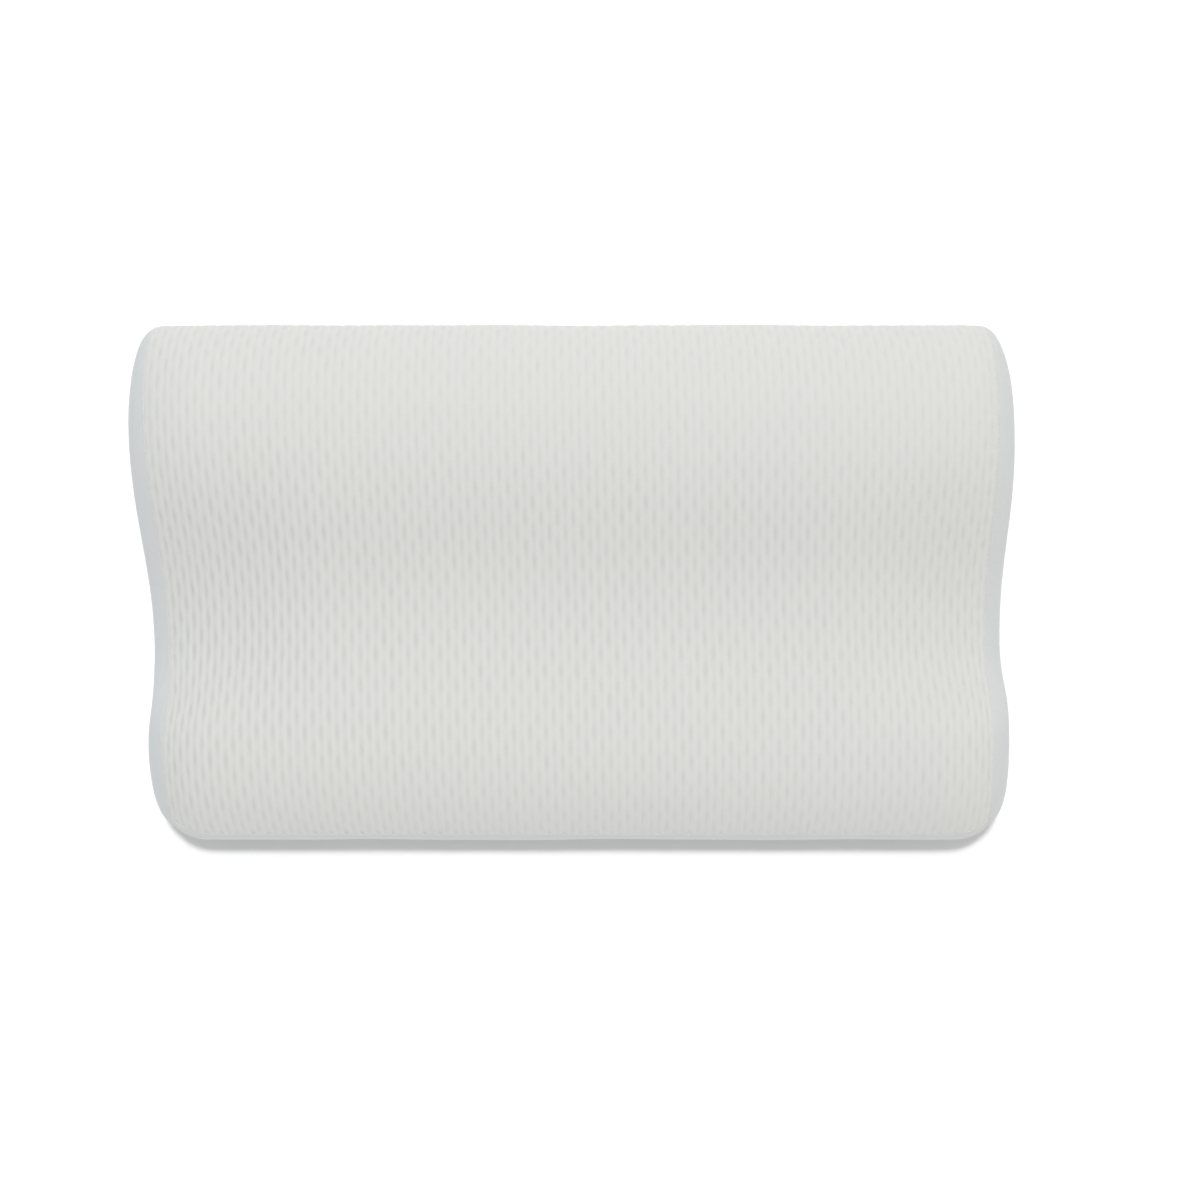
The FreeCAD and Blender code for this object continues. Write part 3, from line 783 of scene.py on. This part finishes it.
def end_cap(stations, steps, inset=0.0, back_room=0.0):
    """Rings up to the tip and the filled end: points, faces, the cloth's own coordinates in metres,
    the cloth's distance from the first ring, and the first ring's indices."""
    rings = np.array([ring_of(x, steps, inset, back_room) for x in stations])
    count = rings.shape[1]
    fill, border = end_fill(stations[-1], steps, inset, back_room)
    index = np.arange(len(stations) * count).reshape(len(stations), count)
    wrapped = np.concatenate([index, index[:, :1]], axis=1)
    faces = grid_faces(wrapped, flipped=True)
    inner = border < 0
    middle = np.where(inner, 0, border + (len(stations) - 1) * count)
    middle[inner] = len(stations) * count + np.arange(inner.sum())
    faces += grid_faces(middle)
    more = np.insert(fill[inner], 0, stations[-1], axis=1)
    strides = np.linalg.norm(np.diff(rings, axis=0), axis=2)
    travelled = np.concatenate([np.zeros((1, count)), np.cumsum(strides, axis=0)])
    from_tip = travelled[-1] - travelled
    outward = rings[..., 1:] - rings[-1, :, 1:]
    outward /= np.maximum(np.linalg.norm(outward, axis=2, keepdims=True), 1e-9)
    cloth = rings[-1, :, 1:] + outward * from_tip[..., None]
    cloth = np.concatenate([cloth.reshape(-1, 2), fill[inner]])
    to_rim = np.linalg.norm(more[:, None, 1:] - rings[-1, None, ::8, 1:], axis=2).min(1)
    nearest = np.minimum(to_rim, 50 * MM)
    depth = np.concatenate([travelled.ravel(), travelled[-1].mean() + nearest])
    return np.concatenate([rings.reshape(-1, 3), more]), faces, cloth, depth, index[0]


def vertex_normals(points, faces):
    quads = np.array([f for f in faces if len(f) == 4])
    a, b, c, d = (points[quads[:, k]] for k in range(4))
    flat = np.cross(c - a, d - b)
    normals = np.zeros_like(points)
    for k in range(4):
        np.add.at(normals, quads[:, k], flat)
    return normals / np.maximum(np.linalg.norm(normals, axis=1, keepdims=True), 1e-12)


CROWN, CROWN_FROM, CROWN_OVER = 0.8 * MM, 12 * MM, 30 * MM


def end_panel(name, side):
    """A plain panel over one rolled end, slightly crowned in its middle."""
    first = HALF_LENGTH - SEAM_X - SEAM_EDGE_GAP
    shares = np.array([1.0, 0.985, 0.96, 0.92, 0.86, 0.78, 0.69, 0.6, 0.5, 0.4, 0.3, 0.2, 0.1, 0.0])
    stations = HALF_LENGTH - first * shares**2
    points, faces, cloth, depth, first_ring = end_cap(stations, FINE_STEPS)
    normals = vertex_normals(points, faces)
    around = np.arctan2(cloth[:, 1] - 40 * MM, cloth[:, 0]) * 120 * MM
    rise = 1.3 * PUCKER * beside_seam(depth) * puckers(around, 3.0 + side)
    swell = unevenness(cloth[:, 0], cloth[:, 1] + 0.3 * side)
    rise += 0.3 * MM * swell * smooth(depth / (10 * MM))
    base = drawn_in(depth) + CROWN * smooth((depth - CROWN_FROM) / CROWN_OVER)
    outer = points + normals * (rise + base)[:, None]
    inner = points + normals * (base - CLOTH_THICK)[:, None]
    count = len(points)
    rim = np.stack([first_ring, first_ring + count])
    rim = np.concatenate([rim, rim[:, :1]], axis=1)
    every = faces + [tuple(n + count for n in f[::-1]) for f in faces] + grid_faces(rim, True)
    both = np.concatenate([outer, inner])
    if side < 0:
        both[:, 0] *= -1.0
        every = [f[::-1] for f in every]
    cloth_places = np.tile(cloth / np.array([COLUMN, REPEAT]), (2, 1))
    piece = add_mesh(name + "_knit", lean(both), every, cloth_places)
    place(piece, PLAIN, "knit_plain", "pillow", name)
    return piece


# ---- Seams ----
SEAM_RADIUS = 0.7 * MM
SEAM_SINK = 0.72 * MM
STITCH_PITCH = 2.6 * MM
PER_STITCH = 6


def stitched_radius(lengths, radius, pitch):
    """A seam's roll, drawn in at every stitch."""
    return radius * (0.78 + 0.32 * np.abs(np.sin(np.pi * lengths / pitch)))


def sunk_loop(x):
    """The section at x > 0 as points in space, sunk along the normals of the cover's face."""
    step = 0.5 * MM
    here, arc, marks = loop(x)
    ahead = loop(x + step)[0] - loop(x - step)[0]
    points = np.insert(here, 0, x, axis=1)
    forward = np.insert(ahead, 0, 2 * step, axis=1)
    around = np.insert(np.gradient(here, axis=0), 0, 0.0, axis=1)
    normals = np.cross(forward, around)
    normals /= np.maximum(np.linalg.norm(normals, axis=1, keepdims=True), 1e-12)
    return points - SEAM_SINK * normals, here, arc, marks


def end_seam(name, side):
    points, _, arc, _ = sunk_loop(SEAM_X)
    stitches = round(arc[-1] / STITCH_PITCH)
    places = np.linspace(0, arc[-1], stitches * PER_STITCH, endpoint=False)
    path = along(points, arc, places) * np.array([side, 1.0, 1.0])
    radius = stitched_radius(places, SEAM_RADIUS, arc[-1] / stitches)
    return sewn(name + "_stitched", [tube(lean(path), radius, closed=True)], "pillow", name)


def sunk_at_height(x, run, height):
    """Where a seam lies at x, on one run of the section, at a height of the cover's face."""
    points, here, arc, marks = sunk_loop(abs(x))
    return along(points, arc, arc_at_height(here, arc, marks, run, height))[1:]


def straight_seam(name, spans, run, height):
    parts = []
    for low, high in spans:
        xs = np.linspace(low, high, int((high - low) / STITCH_PITCH * PER_STITCH))
        path = np.array([[x, *sunk_at_height(x, run, height)] for x in xs])
        radius = stitched_radius(run_lengths(path), SEAM_RADIUS, STITCH_PITCH)
        parts.append(tube(lean(path), radius, up=UPRIGHT))
    return sewn(name + "_stitched", parts, "pillow", name)


# ---- The zip ----
TAPE_STATIONS = 849


def zip_tape(name, up):
    """Woven tape: a flat band with a thicker woven edge beside the coil."""
    low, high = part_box(name)
    middle_y = (low.y + high.y) / 2
    half = (high.y - low.y) / 2
    inner_z, outer_z = (low.z, high.z) if up > 0 else (high.z, low.z)
    across = np.array([0, 0.04, 0.10, 0.16, 0.22, 0.4, 0.6, 0.8, 0.96, 1.0])
    thick = half * np.array([0.6, 1.0, 1.0, 0.75, 0.6, 0.6, 0.6, 0.6, 0.6, 0.3])
    z = inner_z + (outer_z - inner_z) * across
    profile = [(middle_y + t, a) for t, a in zip(thick, z)]
    profile += [(middle_y - t, a) for t, a in zip(thick[::-1], z[::-1])]
    xs = np.linspace(low.x, high.x, TAPE_STATIONS)
    ripple = 0.05 * MM * np.sin(2 * np.pi * xs / (4 * MM))
    points = np.array([[[x, y + r, b] for y, b in profile] for x, r in zip(xs, ripple)])
    count = len(profile)
    index = np.arange(len(xs) * count).reshape(len(xs), count)
    wrapped = np.concatenate([index, index[:, :1]], axis=1)
    faces = grid_faces(wrapped, flipped=up < 0)
    first, last = [int(n) for n in index[0]], [int(n) for n in index[-1]]
    faces += [tuple(first[::-1] if up < 0 else first), tuple(last if up < 0 else last[::-1])]
    piece = add_mesh(name + "_woven", points.reshape(-1, 3), [f[::-1] for f in faces])
    return place(piece, TAPE, "zip_tape", "pillow", name)


COIL_PITCH = 1.4 * MM
COIL_WIRE = 0.24 * MM
COIL_AWAY = 0.46 * MM
PER_TURN = 14


def zip_coil(name, up):
    """One continuous flattened coil of nylon, whose heads stop just short of the centre line."""
    low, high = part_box(name)
    head = ZIP_Z + up * COIL_AWAY
    tail = (high.z if up > 0 else low.z) - up * COIL_WIRE
    turns = int((high.x - low.x - COIL_PITCH) / COIL_PITCH)
    angle = np.linspace(0, turns * 2 * np.pi, turns * PER_TURN + 1)
    start = low.x + COIL_PITCH * (0.5 if up > 0 else 1.0)
    x = start + COIL_PITCH * angle / (2 * np.pi)
    lengthwise = np.cos(angle)
    z = (head + tail) / 2 + (head - tail) / 2 * np.sign(lengthwise) * np.abs(lengthwise) ** 0.7
    middle = (low.y + high.y) / 2
    rise = (high.y - low.y) / 2 - COIL_WIRE
    y = middle + rise * np.sign(np.sin(angle)) * np.abs(np.sin(angle)) ** 0.8
    path = np.stack([x, y, z], axis=1)
    piece = add_mesh(name + "_wound", *tube(path, COIL_WIRE, sides=6))
    return place(piece, COIL, "zip_coil", "pillow", name)


def capsule(start, end, radius, sink):
    """One stitch: a short arched length of thread that dips into the cloth at both ends."""
    start, end = np.asarray(start), np.asarray(end)
    share = np.linspace(0.0, 1.0, 7)
    path = start + (end - start) * share[:, None]
    path[:, 1] -= sink * (2 * share - 1) ** 4
    girth = radius * (1.0 - 0.55 * np.abs(2 * share - 1) ** 3)
    return tube(path, girth, sides=6, up=(0.0, 1.0, 0.0))


STITCH_STEP = 3.2 * MM
HALF_STITCH = 1.3 * MM


def stitch_row(name):
    low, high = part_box(name)
    y = low.y + 0.05 * MM
    parts = []
    for k in range(int((high.x - low.x) / STITCH_STEP)):
        x = low.x + (k + 0.5) * STITCH_STEP
        z = (low.z + high.z) / 2 + 0.12 * MM * math.sin(1.7 * k)
        parts.append(capsule((x - HALF_STITCH, y, z), (x + HALF_STITCH, y, z), 0.2 * MM, 0.5 * MM))
    return sewn(name + "_sewn", parts, "pillow", name)


TACK_STRANDS = 16
TACK_HALF = 0.9 * MM
TACK_TILT = 0.25 * MM


def bar_tacks(name):
    """At each end of the zip: strands across the opening over two upright ones."""
    low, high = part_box(name)
    parts = []
    for side in (-1, 1):
        middle = side * (high.x - 0.7 * MM)
        y = low.y + 0.1 * MM
        for k in range(TACK_STRANDS):
            z = low.z + (high.z - low.z) * (k + 0.5) / TACK_STRANDS
            tilt = TACK_TILT if k % 2 else -TACK_TILT
            ends = (middle - TACK_HALF, y, z - tilt), (middle + TACK_HALF, y, z + tilt)
            parts.append(capsule(*ends, 0.24 * MM, 0.35 * MM))
        for x in (middle - TACK_HALF / 2, middle + TACK_HALF / 2):
            under = np.array([x, low.y + 0.02 * MM, low.z + 0.2 * MM])
            over = np.array([x, low.y + 0.02 * MM, high.z - 0.2 * MM])
            parts.append(tube(np.linspace(under, over, 12), 0.2 * MM, sides=6))
    return sewn(name + "_sewn", parts, "pillow", name)


# ---- Inside: the liner and the foam ----
def closed_body(inset, back_room, waviness):
    """The whole pillow at an inset, as points and faces: both ends and the length between them."""
    rolled = HALF_LENGTH - inset - TOP_ROLL[0] * np.linspace(1.0, 0.0, 14) ** 2
    straight = np.linspace(0.0, rolled[0], 34)[:-1]
    stations = np.concatenate([straight, rolled])
    points, faces = end_cap(stations, COARSE_STEPS, inset, back_room)[:2]
    normals = vertex_normals(points, faces)
    swell = waviness * unevenness(points[:, 0] * 1.7 + 0.1, points[:, 1] * 1.4)
    flat = points[:, 2] < inset + 0.5 * MM
    points = points + normals * np.where(flat, 0.0, swell)[:, None]
    mirrored = points * np.array([-1.0, 1.0, 1.0])
    ring = 2 * sum(COARSE_STEPS)
    swap = np.arange(len(points))
    other = np.where(swap < ring, swap, swap + len(points) - ring)
    every = faces + [tuple(int(other[n]) for n in f[::-1]) for f in faces]
    points[:ring, 0] = 0.0
    return np.concatenate([points, mirrored[ring:]]), every


def foam_core():
    points, faces = closed_body(FOAM_INSET, ZIP_ROOM, 0.15 * MM)
    piece = add_mesh("foam_core_moulded", lean(points), faces)
    place(piece, FOAM, "foam", "pillow", "foam_core")
    return piece


LINER_OUTER, LINER_INNER = 2.35 * MM, 2.75 * MM


def inner_liner():
    outer, faces = closed_body(LINER_OUTER, ZIP_ROOM, 0.1 * MM)
    inner, _ = closed_body(LINER_INNER, ZIP_ROOM, 0.1 * MM)
    count = len(outer)
    every = faces + [tuple(n + count for n in f[::-1]) for f in faces]
    piece = add_mesh("inner_liner_sleeve", lean(np.concatenate([outer, inner])), every)
    place(piece, LINER, "liner_cloth", "pillow", "inner_liner")
    return piece


def liner_seam(name):
    low, high = (np.array(corner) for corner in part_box(name))
    path = np.tile((low + high) / 2, (1100, 1))
    path[:, 0] = np.linspace(low[0], high[0], len(path))
    radius = stitched_radius(path[:, 0] - low[0], 0.5 * MM, STITCH_PITCH)
    return sewn(name + "_stitched", [tube(path, radius, up=UPRIGHT)], "pillow", name)


# ---- The care label ----
LABEL_PLY, LABEL_CURL, LABEL_WAVE = 0.2 * MM, 0.9 * MM, 0.25 * MM


def care_label(name):
    """A folded blank label: two plies, open at the top, with a slight curl towards its corners."""
    low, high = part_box(name)
    middle = (low.y + high.y) / 2
    half = (high.y - low.y) / 2
    fold = low.z + half
    angles = np.linspace(0, math.pi, 9)
    turn = [(middle + half * math.cos(a), fold - half * math.sin(a)) for a in angles]
    front = [(middle + half, z) for z in np.linspace(high.z, fold, 22)[:-1]]
    back = [(middle - half, z) for z in np.linspace(fold, high.z, 22)[1:]]
    outer = np.array(front + turn + back)
    toward = np.gradient(outer, axis=0)
    toward /= np.linalg.norm(toward, axis=1, keepdims=True)
    inner = outer + np.stack([toward[:, 1], -toward[:, 0]], axis=1) * LABEL_PLY
    profile = np.concatenate([outer, inner[::-1]])
    xs = np.linspace(low.x, high.x, 61)
    centre = (low.x + high.x) / 2
    points = np.zeros((len(xs), len(profile), 3))
    for k, x in enumerate(xs):
        points[k, :, 0] = x
        points[k, :, 1:] = profile
        hang = np.clip((high.z - profile[:, 1]) / (high.z - low.z), 0, 1)
        corner = ((x - centre) / (high.x - centre)) ** 4
        points[k, :, 1] += hang**2 * (LABEL_CURL * corner + LABEL_WAVE * math.sin(170 * (x - low.x)))
    index = np.arange(points.shape[0] * points.shape[1]).reshape(points.shape[:2])
    wrapped = np.concatenate([index, index[:, :1]], axis=1)
    faces = grid_faces(wrapped)
    faces += ladder(index[0], len(outer), False) + ladder(index[-1], len(outer), True)
    piece = add_mesh(name + "_satin", points.reshape(-1, 3), faces)
    return place(piece, SATIN, "label_satin", "label", name)


def ladder(ring, count, flipped):
    """Closes the side of a folded strip, whose outer and inner lines run opposite ways."""
    faces = []
    for k in range(count - 1):
        face = (int(ring[k]), int(ring[k + 1]), int(ring[-2 - k]), int(ring[-1 - k]))
        faces.append(face[::-1] if flipped else face)
    return faces


def label_stitches():
    """The row that sews the label's top edge to the cover."""
    low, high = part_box("care_label")
    y, z = high.y + 0.05 * MM, high.z - 1.2 * MM
    pitch, stitch = 2.4 * MM, 1.8 * MM
    parts = []
    for k in range(int((high.x - low.x - 2 * MM) / pitch)):
        x = low.x + 1.6 * MM + k * pitch
        parts.append(capsule((x, y, z), (x + stitch, y, z), 0.17 * MM, 0.3 * MM))
    return sewn("care_label_stitches", parts, "label")


# ---- Build ----
long_panel("cover_top_panel", top_run)
long_panel("cover_base_panel", base_run)
end_panel("end_panel_left", -1)
end_panel("end_panel_right", 1)
end_seam("end_seam_left", -1)
end_seam("end_seam_right", 1)
inside = SEAM_X - 0.6 * MM
past_window = WINDOW_HALF_LONG + 2 * MM
straight_seam("front_seam", [(-inside, inside)], FRONT_RUN, FRONT_SEAM_Z)
straight_seam("zip_end_seams", [(-inside, -past_window), (past_window, inside)], WALL_RUN, ZIP_Z)
zip_tape("zip_tape_upper", 1)
zip_tape("zip_tape_lower", -1)
zip_coil("zip_coil_upper", 1)
zip_coil("zip_coil_lower", -1)
stitch_row("zip_stitching_upper")
stitch_row("zip_stitching_lower")
bar_tacks("zip_bar_tacks")
care_label("care_label")
label_stitches()
foam_core()
inner_liner()
liner_seam("liner_closing_seam")
for node in ("zip_slider_body", "zip_pull_tab", "zip_top_stops", "zip_bottom_stop"):
    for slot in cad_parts[node].material_slots:
        slot.material = METAL


# ---- Stage, light and camera ----
def stage_floor():
    n = Nodes("pale_floor")
    cloud = n.noise(n.place_in_object(), 3.0, 2.0)
    shade = n.mix(cloud, (0.80, 0.80, 0.80), (0.79, 0.79, 0.79))
    material = n.finish(shade, None, Roughness=0.9)
    half, below = 4.0, -0.2 * MM
    corners = [(a * half, b * half, below) for a, b in ((-1, -1), (1, -1), (1, 1), (-1, 1))]
    floor = add_mesh("floor", corners, [(0, 1, 2, 3)])
    floor.data.materials.append(material)
    return floor


def area_light(name, direction, size, power, away=2.6):
    """A round white light at an azimuth and elevation in degrees, aimed at the pillow's middle."""
    azimuth, elevation = (math.radians(a) for a in direction)
    toward = Vector((
        math.cos(elevation) * math.cos(azimuth),
        math.cos(elevation) * math.sin(azimuth),
        math.sin(elevation),
    ))
    data = bpy.data.lights.new(name, "AREA")
    data.shape = "DISK"
    data.size = size
    data.energy = power
    light = bpy.data.objects.new(name, data)
    light.location = toward * away
    light.rotation_euler = toward.to_track_quat("Z", "Y").to_euler()
    bpy.context.scene.collection.objects.link(light)
    return light


SKY = (
    (0.0, (0.33, 0.44, 0.52)),
    (0.27, (1.0, 0.995, 0.975)),
    (0.76, (1.0, 0.995, 0.975)),
    (1.0, (0.62, 0.63, 0.65)),
)


def sky_colour(tree):
    """An even white room whose side walls are dimmer than its ceiling, the left one a cool grey."""
    background = tree.nodes["Background"]
    background.inputs["Strength"].default_value = 0.735
    split = tree.nodes.new("ShaderNodeSeparateXYZ")
    tree.links.new(tree.nodes.new("ShaderNodeTexCoord").outputs["Generated"], split.inputs[0])
    spread = tree.nodes.new("ShaderNodeMapRange")
    tree.links.new(split.outputs[0], spread.inputs["Value"])
    spread.inputs["From Min"].default_value = -1.0
    ramp = tree.nodes.new("ShaderNodeValToRGB")
    tree.links.new(spread.outputs["Result"], ramp.inputs["Fac"])
    tree.links.new(ramp.outputs["Color"], background.inputs["Color"])
    stops = ramp.color_ramp.elements
    while len(stops) < len(SKY):
        stops.new(0.5)
    for stop, (place_at, colour) in zip(stops, SKY):
        stop.position = place_at
        stop.color = (*colour, 1.0)


def studio(floor):
    """The room, a soft key from above the back, and a second key that lights only the floor."""
    world = bpy.data.worlds.new("studio")
    world.use_nodes = True
    sky_colour(world.node_tree)
    bpy.context.scene.world = world
    area_light("key", (90, 72), 0.5, 19.2)
    lit = bpy.data.collections.new("floor_only")
    lit.objects.link(floor)
    backdrop_light = area_light("floor_key", (90, 75), 0.25, 34.0)
    backdrop_light.light_linking.receiver_collection = lit
    bpy.context.scene.view_settings.view_transform = "Standard"


def camera():
    """Straight above the pillow, at the height that gives the photograph's perspective."""
    data = bpy.data.cameras.new("camera")
    data.lens = 55.55
    data.sensor_width = 36.0
    view = bpy.data.objects.new("camera", data)
    view.location = (0.0143, -0.0083, 1.125)
    view.rotation_euler = (0.0, 0.0, 0.0)
    bpy.context.scene.collection.objects.link(view)
    bpy.context.scene.camera = view


studio(stage_floor())
camera()
